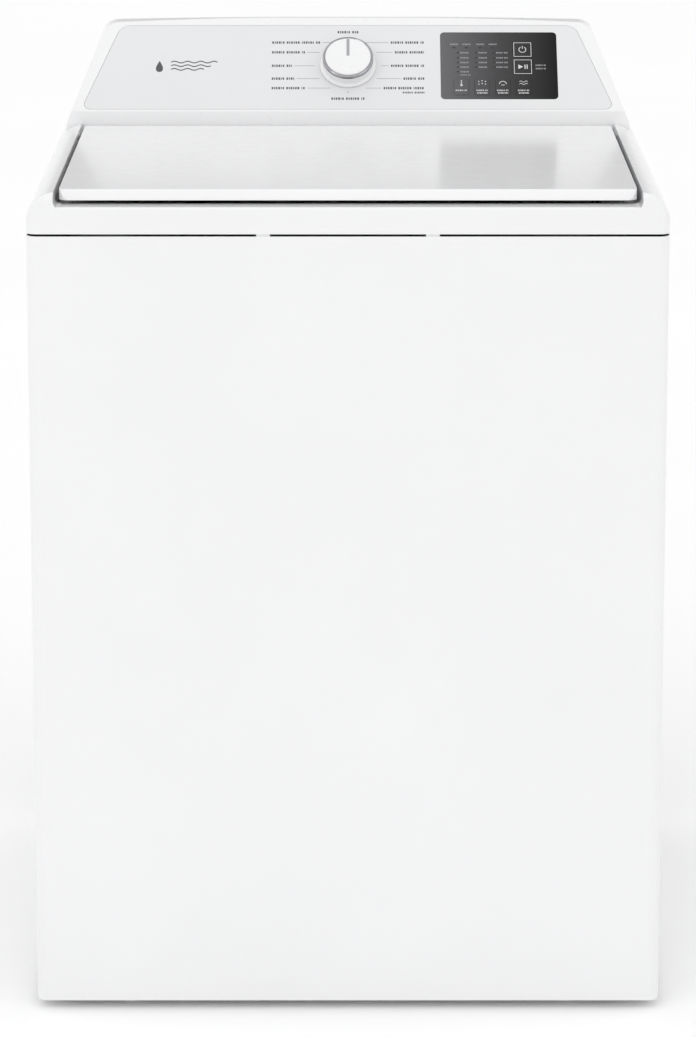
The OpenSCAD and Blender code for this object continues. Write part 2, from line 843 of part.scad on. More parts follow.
module console_back_plate() {
    color("gainsboro") difference() {
        slab_y(console_back_y, console_back_y + back_plate_t) back_plate_outline();
        for (x = [-1, 1]) translate([x * console_screw_x, console_back_y - cut, console_screw_z])
            rotate([-90, 0, 0]) cylinder(r = screw_r + fit_gap, h = 2 * back_plate_t);
        for (i = [-6 : 6]) slab_y(console_back_y - cut, console_back_y + 2 * back_plate_t)
            translate([vent_x + i * vent_pitch, vent_z]) round_rect(3.5, 34, 1.6);
    }
}

module console_screws() {
    color("silver") for (x = [-1, 1])
        translate([x * console_screw_x, console_back_y + back_plate_t, console_screw_z]) rotate([-90, 0, 0]) {
            cylinder(r = screw_head_r, h = screw_head_h);
            translate([0, 0, -screw_l]) cylinder(r = screw_r, h = screw_l + cut);
        }
}

module console_fascia() {
    color("ghostwhite") on_face() difference() {
        translate([0, 0, -fascia_t]) linear_extrude(fascia_t) fascia_outline(-fit_gap / 2);
        translate([0, knob_s, -2 * fascia_t]) cylinder(r = bushing_out_r + fit_gap, h = 3 * fascia_t);
        translate([window_x, window_s, -2 * fascia_t])
            round_block(window_w + fit_gap, window_l + fit_gap, 3 * fascia_t, window_r + fit_gap / 2);
    }
}

// Centres and sizes of the six keys: [x, s, width, length]
function key_list() = concat(
    [[key_x, power_s, key_w, key_w], [key_x, start_s, key_w, key_w]],
    [for (i = [0 : 3]) [option_x + i * option_pitch, option_s, option_w, option_l]]);

module display_window() {
    color("dimgray") difference() {
        on_face(window_x, window_s) translate([0, 0, -window_t])
            round_block(window_w, window_l, window_t, window_r);
        for (k = key_list()) on_face(k[0], k[1]) translate([0, 0, -2 * window_t])
            round_block(k[2] + 2 * key_gap, k[3] + 2 * key_gap, 3 * window_t, key_corner_r + key_gap);
    }
}

module key(i) {
    k = key_list()[i];
    on_face(k[0], k[1]) {
        translate([0, 0, -window_t - key_depth])
            round_block(k[2], k[3], window_t + key_depth + key_proud, key_corner_r);
        translate([0, 0, -window_t - key_depth])
            round_block(k[2] + 2 * key_rim, k[3] + 2 * key_rim, key_depth - fit_gap, key_corner_r + fit_gap);
    }
}

module power_key() {
    color("dimgray") key(0);
}

module start_key() {
    color("dimgray") key(1);
}

module option_key_1() {
    color("dimgray") key(2);
}

module option_key_2() {
    color("dimgray") key(3);
}

module option_key_3() {
    color("dimgray") key(4);
}

module option_key_4() {
    color("dimgray") key(5);
}

module user_interface_board() {
    switch_h = board_drop - window_t - key_depth - key_travel - fit_gap;
    color("seagreen") on_face() {
        translate([window_x, window_s, -board_drop - board_t])
            round_block(window_w - 10, window_l - 10, board_t, 3);
        for (k = key_list()) translate([k[0], k[1], -board_drop + switch_h / 2 - cut / 2])
            cube([6, 6, switch_h + cut], center = true);
        translate([window_x - 62, window_s - 8, -board_drop - cut])
            cube([66, 44, board_drop - window_t + cut - fit_gap]);
        for (x = [-1, 1], s = [-1, 1])
            translate([window_x + x * (window_w / 2 - 2.5), window_s + s * (window_l / 2 - 10)])
                translate([0, 0, -board_drop - board_t])
                    cylinder(r = 3, h = board_drop + board_t - face_depth);
    }
}

// ---- Selector ----

module knob_body() {
    face_r = knob_r - ring_w;
    color("white") on_face(0, knob_s) difference() {
        rotate_extrude() polygon([
            [shaft_r, 4], [8, 4], [8, knob_h - 7], [knob_r - 4, knob_h - 7], [knob_r - 4, 2],
            [knob_r - 2, 0.6], [knob_skirt_r, 0.6], [knob_skirt_r, 2.4], [knob_r, 5],
            [knob_r, knob_h - 5], [face_r, knob_h - 5], [face_r, knob_h - 1], [face_r - 1, knob_h],
            [0, knob_h], [0, knob_h - 4], [shaft_r, knob_h - 4]]);
        translate([-pointer_w / 2, 1, knob_h - pointer_depth]) cube([pointer_w, pointer_l, 2]);
    }
}

module knob_ring() {
    color("silver") on_face(0, knob_s) translate([0, 0, knob_h - 5]) rotate_extrude()
        polygon([
            [knob_r - ring_w, 0], [knob_r, 0], [knob_r - 0.4, 3.2],
            [knob_r - 2, 4.4], [knob_r - ring_w, 3.6]]);
}

module knob_pointer() {
    color("gray") on_face(0, knob_s) intersection() {
        translate([-pointer_w / 2, 1, knob_h - pointer_depth]) cube([pointer_w, pointer_l, 1]);
        cylinder(r = knob_r - ring_w - 1, h = knob_h + 1);
    }
}

module knob_shaft() {
    color("silver") on_face(0, knob_s) translate([0, 0, -14])
        cylinder(r = shaft_r, h = knob_h + encoder_shaft_l);
}

module selector_encoder() {
    color("dimgray") on_face(0, knob_s) difference() {
        union() {
            translate([-encoder_w / 2, -encoder_w / 2, -face_depth - encoder_h])
                cube([encoder_w, encoder_w, encoder_h]);
            translate([0, 0, -face_depth - cut]) cylinder(r = bushing_out_r, h = face_depth + cut + 0.3);
        }
        translate([0, 0, -face_depth - encoder_h - cut]) cylinder(r = shaft_r + run_gap, h = 3 * encoder_h);
    }
}

// ---- Electrics and water inside the console and the rear ----

module main_control_board() {
    color("darkslategray") {
        translate([-260, console_back_y - 72, seat_z]) cube([170, 60, 4]);
        translate([-256, console_back_y - 70, seat_z + 3]) cube([162, 56, 40]);
        for (i = [0 : 3]) translate([-240 + i * 36, console_back_y - 60, seat_z + 42]) cube([24, 14, 10]);
    }
}

module wire_harness() {
    r = 4;
    start_x = -94;
    end_x = 150;
    rise = 58;
    reach = 34;
    y = console_back_y - 80;
    z = seat_z + 25;
    color("black") {
        translate([start_x, y, z]) rotate([0, 90, 0]) cylinder(r = r, h = end_x - start_x);
        for (h = [0, rise]) translate([end_x, y, z + h]) sphere(r);
        translate([end_x, y, z]) cylinder(r = r, h = rise);
        translate([end_x, y, z + rise]) rotate([90, 0, 0]) cylinder(r = r, h = reach);
        translate([start_x + r, y + 6, z]) cube([2 * r, 16, 2 * r], center = true);
    }
}

module pressure_switch() {
    color("gainsboro") translate([switch_x, switch_y, seat_z]) difference() {
        union() {
            translate([-24, -24, 10]) cube([48, 34, 16]);
            translate([0, 0, 0]) cylinder(r = tube_r + 3, h = 12);
        }
        translate([0, 0, -cut]) cylinder(r = tube_r, h = 8 + cut);
    }
}

// Carries air pressure from the tub's floor up to the switch
module pressure_tube() {
    color("dimgray") translate([switch_x, switch_y, tub_z + 40])
        cylinder(r = tube_r, h = seat_z + 6 - tub_z - 40);
}

module inlet_valve() {
    depth = 58;
    color("lightgray") difference() {
        union() {
            translate([inlet_x - 42, rear_y - depth, inlet_z - 22]) cube([84, depth - fit_gap, 32]);
            for (x = [-1, 1]) {
                rod_y(inlet_x + x * inlet_pitch / 2, rear_y - 2, inlet_z, inlet_r, rear_room + 2);
                rod_y(inlet_x + x * inlet_pitch / 2, rear_y - 2, inlet_z, inlet_r + collar_w, collar_l + 2);
            }
            translate([inlet_x, rear_y - depth + 18, inlet_z - 2])
                cylinder(r = fill_hose_r - 2, h = valve_top_z - inlet_z + 2);
        }
        for (x = [-1, 1]) rod_y(inlet_x + x * inlet_pitch / 2, rear_y, inlet_z, inlet_r - 3, rear_room + 1);
    }
}

// Runs from the valve, over the tub, to the rear edge of the wash opening
module fill_hose() {
    bend_r = fill_z - valve_top_z;
    x = inlet_x;
    y = rear_y - 40;
    end_y = opening_y + opening_d / 2 + 4;
    color("dimgray") difference() {
        union() {
            translate([x, y - bend_r, fill_z - bend_r]) rotate([0, 0, 90]) elbow(fill_hose_r, bend_r);
            translate([x, y - bend_r, fill_z]) rotate([90, 0, 0])
                cylinder(r = fill_hose_r, h = y - bend_r - end_y);
        }
        translate([x, y - bend_r, fill_z]) rotate([90, 0, 0]) cylinder(r = fill_hose_r - 2.5, h = y);
    }
}

module drain_port() {
    color("dimgray") difference() {
        union() {
            rod_y(drain_x, riser_y + 16, drain_port_z, drain_r, back_y - riser_y - 16);
            rod_y(drain_x, rear_y - 4, drain_port_z, drain_r + collar_w, collar_l + 4);
        }
        rod_y(drain_x, riser_y, drain_port_z, drain_r - 3, back_y);
    }
}

// The flexible hose from the pump up to the drain connection
module drain_riser() {
    bend_r = 16;
    color("dimgray") {
        translate([drain_x, riser_y, riser_z0])
            cylinder(r = drain_r - 1, h = drain_port_z - bend_r - riser_z0);
        translate([drain_x, riser_y + bend_r, drain_port_z - bend_r]) rotate([0, 0, 90])
            mirror([1, 0, 0]) elbow(drain_r - 1, bend_r);
    }
}

module cord_gland() {
    color("black") difference() {
        union() {
            rod_y(gland_x, rear_y - 12, gland_z, cord_bore_r + 4, 12 + rear_room - 4);
            rod_y(gland_x, panel_y, gland_z, cord_bore_r + 8, 3);
        }
        rod_y(gland_x, rear_y - 20, gland_z, cord_bore_r, 60);
    }
}

// ---- Wash unit ----

module outer_tub() {
    floor_t = 4;
    ear_w = 24;
    ear_turn = atan2(body_d / 2 - rod_front, half_w - rod_side);
    ear_reach = norm([body_d / 2 - rod_front, half_w - rod_side]);
    chamber_y = sqrt(tub_r * tub_r - switch_x * switch_x);
    color("lightgray") difference() {
        union() {
            translate([0, mid_y, 0]) rotate_extrude() polygon([
                [bearing_r, tub_z], [tub_r, tub_z], [tub_r, tub_z1], [tub_r - tub_t, tub_z1],
                [tub_r - tub_t, tub_z + floor_t], [bearing_r + 6, tub_z + floor_t],
                [bearing_r + 6, tub_z + 16], [bearing_r, tub_z + 16]]);
            at_rods() translate([0, 0, ear_z]) cylinder(r = cup_r, h = ear_h);
            for (a = [ear_turn, 180 - ear_turn, -ear_turn, ear_turn - 180])
                translate([0, mid_y, ear_z]) rotate([0, 0, a])
                    translate([tub_r - 1, -ear_w / 2, 0]) cube([ear_reach - tub_r - rod_r - 3, ear_w, ear_h]);
            translate([switch_x - 6, mid_y + chamber_y - 6, tub_z + 24])
                cube([12, switch_y - mid_y - chamber_y + 12, 16]);
        }
        at_rods() translate([0, 0, ear_z - cut]) cylinder(r = rod_r + 1, h = ear_h + 2 * cut);
        translate([drain_x, drain_y, tub_z - cut]) cylinder(r = drain_r + 3, h = 3 * floor_t);
        translate([switch_x, mid_y + tub_r - 30, tub_z + 32]) rotate([-90, 0, 0])
            cylinder(r = tube_r, h = switch_y - mid_y - tub_r + 30 + tube_r);
    }
}

module tub_cover_ring() {
    lip_h = 14;
    color("gainsboro") translate([0, mid_y, 0]) difference() {
        rotate_extrude() polygon([
            [cover_in_r, tub_z1], [tub_r + fit_gap, tub_z1], [tub_r + fit_gap, tub_z1 - lip_h],
            [tub_r + tub_t, tub_z1 - lip_h], [tub_r + tub_t, tub_z1 + cover_t],
            [cover_in_r + 6, tub_z1 + cover_t], [cover_in_r, tub_z1 + cover_t - 2]]);
        rotate([0, 0, 180 + spout_turn]) translate([(basket_r + tub_r) / 2, 0, tub_z1 - cut])
            cylinder(r = 7, h = cover_t + 2 * cut);
    }
}

module gearcase() {
    color("silver") translate([0, mid_y, 0]) rotate_extrude() polygon([
        [input_shaft_r + run_gap, gearcase_z0], [gearcase_r, gearcase_z0], [gearcase_r, tub_z - 20],
        [bearing_r + 12, tub_z - 12], [bearing_r + 12, tub_z], [bearing_r, tub_z], [bearing_r, tub_z - 20],
        [gearcase_r - 8, tub_z - 26], [gearcase_r - 8, gearcase_z0 + 6],
        [input_shaft_r + run_gap, gearcase_z0 + 6]]);
}

module tub_bearing_and_seal() {
    color("silver") translate([0, mid_y, 0]) {
        translate([0, 0, tub_z - 18]) ring(bearing_r, spin_tube_r + run_gap, 14);
        translate([0, 0, tub_z + 2]) ring(bearing_r, spin_tube_r + run_gap, 10);
    }
}

module drive_motor() {
    motor_h = 84;
    color("dimgray") translate([unit_x, mid_y, 0]) {
        translate([0, 0, tub_z - 6 - motor_h]) ring(motor_r, 6 + run_gap, motor_h);
        translate([0, 0, tub_z - 8]) cylinder(r = motor_r - 12, h = 8);
        for (a = [0 : 30 : 330]) rotate([0, 0, a])
            translate([motor_r - 1, -2, tub_z - motor_h]) cube([4, 4, motor_h - 16]);
        translate([-20, -motor_r - 36, tub_z - 80]) cylinder(r = 20, h = 70);
        translate([-34, -motor_r - 50, tub_z - 12]) cube([28, 60, 12]);
    }
}

module motor_pulley() {
    color("silver") translate([unit_x, mid_y, pulley_z]) {
        rotate_extrude() polygon([
            [0, 0], [motor_pulley_r + 3, 0], [motor_pulley_r + 3, 2], [motor_pulley_r, 4],
            [motor_pulley_r, pulley_h - 4], [motor_pulley_r + 3, pulley_h - 2],
            [motor_pulley_r + 3, pulley_h], [0, pulley_h]]);
        cylinder(r = 6, h = tub_z - 26 - pulley_z);
    }
}

module drive_pulley() {
    color("silver") translate([0, mid_y, pulley_z]) difference() {
        union() {
            rotate_extrude() polygon([
                [0, 0], [28, 0], [28, 4], [pulley_r - 12, 6], [pulley_r - 12, 0], [pulley_r + 3, 0],
                [pulley_r + 3, 2], [pulley_r, 4], [pulley_r, pulley_h - 4], [pulley_r + 3, pulley_h - 2],
                [pulley_r + 3, pulley_h], [pulley_r - 12, pulley_h], [pulley_r - 12, 10], [28, 12],
                [28, pulley_h + 6], [0, pulley_h + 6]]);
            cylinder(r = input_shaft_r, h = gearcase_z0 + 24 - pulley_z);
        }
        for (a = [0 : 60 : 300]) rotate([0, 0, a]) translate([(pulley_r + 16) / 2, 0, -cut])
            cylinder(r = 14, h = pulley_h + 2 * cut);
    }
}

// Outline of a belt round both pulleys, g outside the pulleys' faces
module belt_outline(g) {
    hull() {
        circle(pulley_r + g, $fn = hull_fn * 2);
        translate([unit_x, 0]) circle(motor_pulley_r + g, $fn = hull_fn);
    }
}

module drive_belt() {
    belt_t = 2.4;
    belt_gap = 0.6;
    color("black") translate([0, mid_y, pulley_z + 5]) difference() {
        linear_extrude(pulley_h - 10) belt_outline(belt_t + belt_gap);
        translate([0, 0, -cut]) linear_extrude(pulley_h) belt_outline(belt_gap);
    }
}

module drain_pump() {
    outlet_y = drain_y + volute_r - 6;
    bend_r = 20;
    color("dimgray") {
        translate([drain_x, drain_y, 0]) {
            difference() {
                translate([0, 0, volute_z]) cylinder(r = volute_r, h = volute_h);
                translate([0, 0, volute_z + 3]) cylinder(r = volute_r - 4, h = volute_h - 6);
                translate([0, 0, volute_z + volute_h - 4]) cylinder(r = drain_r, h = 8);
                translate([0, 0, volute_z - cut]) cylinder(r = 2 + run_gap, h = 8);
                translate([0, 0, pump_out_z]) rotate([-90, 0, 0]) cylinder(r = drain_r - 4, h = volute_r + 2);
            }
            translate([0, 0, volute_z + volute_h]) ring(drain_r + 3, drain_r, tub_z - volute_z - volute_h);
            translate([0, 0, pump_z0]) ring(volute_r - 10, 2 + run_gap, volute_z - pump_z0);
        }
        translate([drain_x, riser_y - bend_r, pump_out_z + bend_r]) rotate([0, 0, 90])
            mirror([0, 0, 1]) elbow(drain_r - 1, bend_r);
        difference() {
            rod_y(drain_x, outlet_y, pump_out_z, drain_r - 1, riser_y - bend_r - outlet_y);
            rod_y(drain_x, outlet_y - cut, pump_out_z, drain_r - 4, riser_y - bend_r - outlet_y + 2 * cut);
            translate([drain_x, drain_y, pump_out_z]) cylinder(r = volute_r - 4, h = volute_h, center = true);
        }
    }
}

module pump_impeller() {
    color("gainsboro") translate([drain_x, drain_y, 0]) {
        translate([0, 0, volute_z + 6]) cylinder(r = 24, h = 3);
        for (a = [0 : 60 : 300]) rotate([0, 0, a]) translate([4, -1.5, volute_z + 8]) cube([22, 3, 14]);
        translate([0, 0, pump_z0 + 10]) cylinder(r = 2, h = volute_z - pump_z0 + 10);
        translate([0, 0, volute_z + 6]) cylinder(r = 6, h = 18);
    }
}

// ---- Basket ----

module basket() {
    tube_z0 = tub_z - 24;
    floor_t = 5;
    color("silver") translate([0, mid_y, 0]) difference() {
        rotate_extrude() polygon([
            [drive_shaft_r + run_gap, tube_z0], [spin_tube_r, tube_z0], [spin_tube_r, basket_z - 6],
            [hub_r, basket_z - 6], [hub_r, basket_z], [basket_r, basket_z], [basket_r, basket_z1],
            [basket_r - basket_t, basket_z1], [basket_r - basket_t, basket_z + floor_t],
            [hub_r, basket_z + floor_t],
            [hub_r - 8, basket_z + hub_h], [drive_shaft_r + run_gap, basket_z + hub_h]]);
        for (i = [0 : hole_rows - 1], k = [0 : hole_columns - 1])
            translate([0, 0, basket_z + 50 + i * (basket_h - 100) / (hole_rows - 1)])
                rotate([0, 90, (k + (i % 2) / 2) * 360 / hole_columns])
                    translate([0, 0, basket_r - 3 * basket_t]) cylinder(r = basket_hole_r, h = 5 * basket_t);
        for (a = [0 : 30 : 330], r = [120, 170, 220]) rotate([0, 0, a + r / 8])
            translate([r, 0, basket_z - cut]) cylinder(r = basket_hole_r, h = floor_t + 2 * cut);
    }
}

module balance_ring() {
    out_r = basket_r + 4;
    color("whitesmoke") translate([0, mid_y, basket_z1]) rotate_extrude() polygon([
        [balance_in_r, 6], [balance_in_r + 6, 0], [out_r - 3, 0], [out_r, 4], [out_r, balance_h - 6],
        [out_r - 6, balance_h], [balance_in_r + 6, balance_h], [balance_in_r, balance_h - 6]]);
}

// ---- Agitator ----

module agitator_base() {
    flare_h = 30;
    color("white") translate([0, mid_y, agitator_z]) difference() {
        union() {
            rotate_extrude() polygon([
                [0, 0], [agitator_r, 0], [agitator_r, 5], [agitator_r - 30, 12], [post_r + 14, flare_h],
                [post_r, flare_h + 24], [post_r, agitator_base_h], [0, agitator_base_h]]);
            for (i = [0 : vane_count - 1]) rotate([0, 0, i * 360 / vane_count]) rotate([90, 0, 0])
                translate([0, 0, -3]) linear_extrude(6) polygon([
                    [post_r - 10, 4], [agitator_r - 4, 4], [agitator_r - 8, 26], [post_r + 26, 44],
                    [post_r + 16, agitator_base_h - 30], [post_r - 10, agitator_base_h - 8]]);
            translate([0, 0, -3]) cylinder(r = hub_r - 14, h = 4);
        }
        translate([0, 0, -2 * cut]) cylinder(r = drive_shaft_r, h = 40);
        translate([0, 0, 40]) cylinder(r = post_r - 4, h = agitator_base_h);
    }
    color("silver") translate([0, mid_y, drive_shaft_z])
        cylinder(r = drive_shaft_r, h = agitator_z + 34 - drive_shaft_z);
}

module agitator_auger() {
    wall = 4;
    neck_r = post_r - 4 - fit_gap;
    color("white") translate([0, mid_y, auger_z]) {
        difference() {
            union() {
                cylinder(r = post_r - 2, h = auger_h);
                translate([0, 0, -20]) cylinder(r = neck_r, h = 24);
                linear_extrude(auger_h - 10, twist = -300, slices = 20, segments = 4) for (a = [0, 120, 240])
                    rotate([0, 0, a]) translate([post_r - 8, -2.5]) square([26, 5]);
            }
            translate([0, 0, -20 - cut]) cylinder(r = neck_r - wall, h = auger_h - 10);
        }
        translate([0, 0, auger_h - cut]) cylinder(r1 = post_r - 2, r2 = post_r - 14, h = 12);
    }
}

cabinet_shell();
rear_panel();
rear_panel_screws();
base_frame();
levelling_feet();
foot_lock_nuts();
corner_brackets();
suspension_rods();
suspension_springs();
top_panel();
top_panel_clips();
lid_bumpers();
hinge_bushings();
bleach_dispenser();
lid_lock_housing();
lid_lock_bolt();
lid_outer();
lid_liner();
lid_hinge_pins();
lid_strike();
console_body();
console_back_plate();
console_screws();
console_fascia();
display_window();
user_interface_board();
power_key();
start_key();
option_key_1();
option_key_2();
option_key_3();
option_key_4();
knob_body();
knob_ring();
knob_pointer();
knob_shaft();
selector_encoder();
main_control_board();
wire_harness();
pressure_switch();
pressure_tube();
inlet_valve();
fill_hose();
drain_port();
drain_riser();
cord_gland();
outer_tub();
tub_cover_ring();
gearcase();
tub_bearing_and_seal();
drive_motor();
motor_pulley();
drive_belt();
drain_pump();
pump_impeller();
basket();
balance_ring();
agitator_base();
agitator_auger();
drive_pulley();
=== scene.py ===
import json
import math

import bmesh
import bpy
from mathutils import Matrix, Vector


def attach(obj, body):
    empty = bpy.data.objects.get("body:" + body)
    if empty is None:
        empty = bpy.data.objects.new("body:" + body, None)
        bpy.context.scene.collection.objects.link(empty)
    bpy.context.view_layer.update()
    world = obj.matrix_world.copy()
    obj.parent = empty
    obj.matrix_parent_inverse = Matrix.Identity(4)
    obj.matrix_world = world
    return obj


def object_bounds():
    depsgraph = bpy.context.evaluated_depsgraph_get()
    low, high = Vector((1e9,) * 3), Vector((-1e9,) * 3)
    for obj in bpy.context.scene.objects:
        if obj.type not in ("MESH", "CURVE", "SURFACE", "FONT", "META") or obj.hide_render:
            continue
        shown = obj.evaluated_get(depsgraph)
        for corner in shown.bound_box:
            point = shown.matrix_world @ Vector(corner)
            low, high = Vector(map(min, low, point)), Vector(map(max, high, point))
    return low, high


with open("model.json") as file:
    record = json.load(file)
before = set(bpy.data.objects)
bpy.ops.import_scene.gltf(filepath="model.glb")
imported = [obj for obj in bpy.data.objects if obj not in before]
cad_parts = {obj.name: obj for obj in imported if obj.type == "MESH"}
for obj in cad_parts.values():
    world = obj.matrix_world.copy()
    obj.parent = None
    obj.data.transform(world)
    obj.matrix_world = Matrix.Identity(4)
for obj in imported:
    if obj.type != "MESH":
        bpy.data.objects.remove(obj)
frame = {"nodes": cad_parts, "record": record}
cad_low, cad_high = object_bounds()

MM = 0.001
NODES = frame["nodes"]
SLOT_OF = {s["node"]: s["material_slot"] for s in frame["record"]["subparts"]}

# The control face leans back by this angle: x runs across it, s up it and out away from it.
TILT = math.radians(45)
UP = Vector((0, math.cos(TILT), math.sin(TILT)))
OUT = Vector((0, -math.sin(TILT), math.cos(TILT)))
ACROSS = Vector((1, 0, 0))


def span(node, axis):
    """Lowest and highest place of a CAD node along an axis."""
    places = [v.co.dot(axis) for v in NODES[node].data.vertices]
    return min(places), max(places)


FASCIA_EDGE = 1.7 * MM
FACE_S = span("console_fascia", UP)[0] - FASCIA_EDGE
FACE_OUT = span("console_fascia", OUT)[1]


def face_point(x, s, out=0.0):
    """A point on the control face, from millimetres across, up and out."""
    return ACROSS * (x * MM) + UP * (FACE_S + s * MM) + OUT * (FACE_OUT + out * MM)


def face_centre(node):
    """Centre of a CAD node on the control face, in millimetres across and up."""
    x = span(node, ACROSS)
    s = span(node, UP)
    return sum(x) / 2 / MM, (sum(s) / 2 - FACE_S) / MM


# ---------------------------------------------------------------- materials


def link(tree, source, target):
    tree.links.new(source, target)


def noise(tree, vector, scale, detail=3.0, rough=0.55):
    """A noise texture's value, at this many cycles per metre."""
    node = tree.nodes.new("ShaderNodeTexNoise")
    node.inputs["Scale"].default_value = scale
    node.inputs["Detail"].default_value = detail
    node.inputs["Roughness"].default_value = rough
    link(tree, vector, node.inputs["Vector"])
    return node.outputs["Fac"]


def ramp(tree, factor, stops):
    """A colour ramp over a factor, from (position, colour) stops."""
    node = tree.nodes.new("ShaderNodeValToRGB")
    elements = node.color_ramp.elements
    while len(elements) < len(stops):
        elements.new(0.5)
    for element, (position, colour) in zip(elements, stops):
        element.position = position
        element.color = (*colour, 1.0)
    link(tree, factor, node.inputs["Fac"])
    return node.outputs["Color"]


def remap(tree, value, low, high, start=0.3, end=0.7):
    """A value between start and end, spread from low to high."""
    node = tree.nodes.new("ShaderNodeMapRange")
    node.inputs["From Min"].default_value = start
    node.inputs["From Max"].default_value = end
    node.inputs["To Min"].default_value = low
    node.inputs["To Max"].default_value = high
    link(tree, value, node.inputs["Value"])
    return node.outputs["Result"]


def bump(tree, height, strength, distance, under=None):
    """A bump from a height, over another one if there is one."""
    node = tree.nodes.new("ShaderNodeBump")
    node.inputs["Strength"].default_value = strength
    node.inputs["Distance"].default_value = distance
    link(tree, height, node.inputs["Height"])
    if under is not None:
        link(tree, under, node.inputs["Normal"])
    return node.outputs["Normal"]


def shade(colour, share):
    return tuple(min(1.0, c * share) for c in colour)


def new_material(name):
    material = bpy.data.materials.new(name)
    material.use_nodes = True
    tree = material.node_tree
    return material, tree, tree.nodes["Principled BSDF"]


def object_vector(tree, stretch=(1, 1, 1)):
    coord = tree.nodes.new("ShaderNodeTexCoord")
    mapping = tree.nodes.new("ShaderNodeMapping")
    mapping.inputs["Scale"].default_value = stretch
    link(tree, coord.outputs["Object"], mapping.inputs["Vector"])
    return mapping.outputs["Vector"]


# Cycles per metre of a finish's features, and the heights of their relief in metres
BROAD_SCALE = 4.5
GLOSS_SCALE = 60
PEEL_SCALE = 260
GRAIN_SCALE = 1500
PEEL_HEIGHT = 0.0004
GRAIN_HEIGHT = 0.0002


def coated(name, colour, rough, coat=0.0, mottle=0.012, peel=0.05, grain=0.0, metallic=0.0,
           rough_spread=0.03):
    """A moulded, painted or metal surface: broad tone, uneven gloss, and a fine relief of two sizes."""
    material, tree, shader = new_material(name)
    vector = object_vector(tree)
    broad = noise(tree, vector, BROAD_SCALE)
    fine = noise(tree, vector, PEEL_SCALE, 2.0)
    link(tree, ramp(tree, broad, [(0.3, shade(colour, 1 - mottle)), (0.7, shade(colour, 1 + mottle))]),
         shader.inputs["Base Color"])
    link(tree, remap(tree, noise(tree, vector, GLOSS_SCALE), rough - rough_spread, rough + rough_spread),
         shader.inputs["Roughness"])
    normal = bump(tree, fine, peel, PEEL_HEIGHT)
    if grain:
        normal = bump(tree, noise(tree, vector, GRAIN_SCALE, 1.0), grain, GRAIN_HEIGHT, normal)
    link(tree, normal, shader.inputs["Normal"])
    shader.inputs["Metallic"].default_value = metallic
    shader.inputs["Coat Weight"].default_value = coat
    shader.inputs["Coat Roughness"].default_value = 0.04
    return material


def spangled(name, colour):
    """Galvanised sheet: crystals of slightly different brightness."""
    material, tree, shader = new_material(name)
    vector = object_vector(tree)
    cells = tree.nodes.new("ShaderNodeTexVoronoi")
    cells.inputs["Scale"].default_value = 95
    link(tree, vector, cells.inputs["Vector"])
    apart = tree.nodes.new("ShaderNodeSeparateColor")
    link(tree, cells.outputs["Color"], apart.inputs["Color"])
    link(tree, ramp(tree, apart.outputs["Red"], [(0.0, shade(colour, 0.86)), (1.0, shade(colour, 1.1))]),
         shader.inputs["Base Color"])
    link(tree, remap(tree, apart.outputs["Green"], 0.34, 0.52, 0, 1), shader.inputs["Roughness"])
    link(tree, bump(tree, noise(tree, vector, 700, 2.0), 0.06, 0.0002), shader.inputs["Normal"])
    shader.inputs["Metallic"].default_value = 0.85
    return material


def brushed(name, colour, stretch, rough=0.28):
    """Metal with fine lines in the direction that the stretch leaves long."""
    material, tree, shader = new_material(name)
    vector = object_vector(tree, stretch)
    lines = noise(tree, vector, 420, 3.0, 0.7)
    link(tree, ramp(tree, lines, [(0.3, shade(colour, 0.93)), (0.7, shade(colour, 1.05))]),
         shader.inputs["Base Color"])
    link(tree, remap(tree, lines, rough - 0.06, rough + 0.08), shader.inputs["Roughness"])
    link(tree, bump(tree, lines, 0.12, 0.0001), shader.inputs["Normal"])
    shader.inputs["Metallic"].default_value = 1.0
    return material


def glass_with_painted_reflection(name, light, dark):
    """A glossy display cover with a painted reflection, running from a lighter grey at its left to near
    black at its right.
    """
    material, tree, shader = new_material(name)
    vector = object_vector(tree)
    apart = tree.nodes.new("ShaderNodeSeparateXYZ")
    link(tree, vector, apart.inputs["Vector"])
    x0, x1 = span("display_window", ACROSS)
    across = remap(tree, apart.outputs["X"], 0.0, 1.0, x0, x1)
    middle = tuple((a + b) / 2 * 0.8 for a, b in zip(light, dark))
    # The ramp from lighter grey to near black across the cover is a painted reflection, not a real tint or
    # print.
    link(tree, ramp(tree, across, [(0.0, light), (0.5, middle), (1.0, dark)]), shader.inputs["Base Color"])
    link(tree, remap(tree, noise(tree, vector, 90), 0.06, 0.12), shader.inputs["Roughness"])
    link(tree, bump(tree, noise(tree, vector, 500, 1.0), 0.01, 0.0002), shader.inputs["Normal"])
    shader.inputs["IOR"].default_value = 1.45
    shader.inputs["Specular IOR Level"].default_value = 0.2
    return material


def solder_mask(name, colour):
    """A printed board: darker mask between paler tracks."""
    material, tree, shader = new_material(name)
    vector = object_vector(tree)
    tracks = tree.nodes.new("ShaderNodeTexBrick")
    tracks.inputs["Scale"].default_value = 160
    tracks.inputs["Mortar Size"].default_value = 0.06
    tracks.inputs["Color1"].default_value = (*shade(colour, 0.8), 1)
    tracks.inputs["Color2"].default_value = (*colour, 1)
    tracks.inputs["Mortar"].default_value = (*shade(colour, 1.9), 1)
    link(tree, vector, tracks.inputs["Vector"])
    link(tree, tracks.outputs["Color"], shader.inputs["Base Color"])
    link(tree, remap(tree, tracks.outputs["Fac"], 0.35, 0.22, 0, 1), shader.inputs["Roughness"])
    link(tree, bump(tree, tracks.outputs["Fac"], 0.2, 0.0001), shader.inputs["Normal"])
    return material


